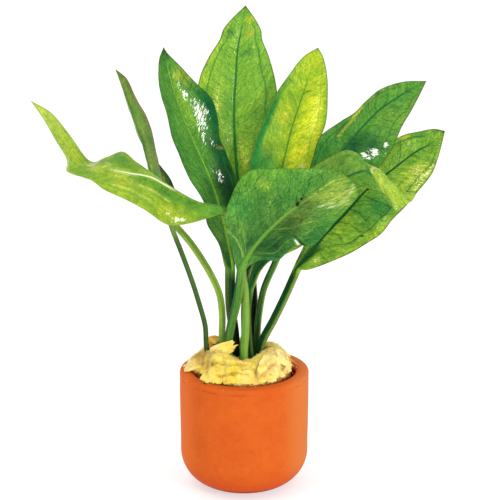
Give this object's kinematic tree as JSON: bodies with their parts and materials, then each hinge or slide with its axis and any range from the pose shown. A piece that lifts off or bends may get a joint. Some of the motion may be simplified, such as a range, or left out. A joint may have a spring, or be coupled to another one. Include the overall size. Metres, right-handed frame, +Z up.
{
  "type": "potted amazon sword plant",
  "caption": "Young amazon sword aquarium plant with broad glossy leaves on upright stalks, rooted in yellow rockwool in a small terracotta-orange pot",
  "frame": {"origin": "middle of the pot's flat underside", "axes": "+Z up; -Y toward the viewer of the picture; +X to the viewer's right"},
  "size_m": [0.1535, 0.0849, 0.1805],
  "materials": {
    "terracotta": "matte fired clay with fine pits",
    "rockwool": "loose mineral fibre, torn and lumpy",
    "rootstock": "fibrous, damp",
    "leaf_mid_green": "waxy wet leaf",
    "leaf_dark_green": "waxy wet leaf",
    "leaf_yellow_green": "waxy wet leaf",
    "leaf_olive": "waxy wet leaf"
  },
  "bodies": {
    "root": {"pot": "terracotta", "rockwool": "rockwool", "crown": "rootstock", "leaf_back_tall": "leaf_mid_green", "leaf_left_upright": "leaf_dark_green", "leaf_right_upright": "leaf_yellow_green", "leaf_front": "leaf_dark_green", "leaf_left_drooping": "leaf_yellow_green", "leaf_right_upper": "leaf_dark_green", "leaf_right_arching": "leaf_mid_green", "leaf_right_lower": "leaf_mid_green", "leaf_left_narrow": "leaf_olive", "leaf_left_small": "leaf_olive"}
  },
  "joints": []
}
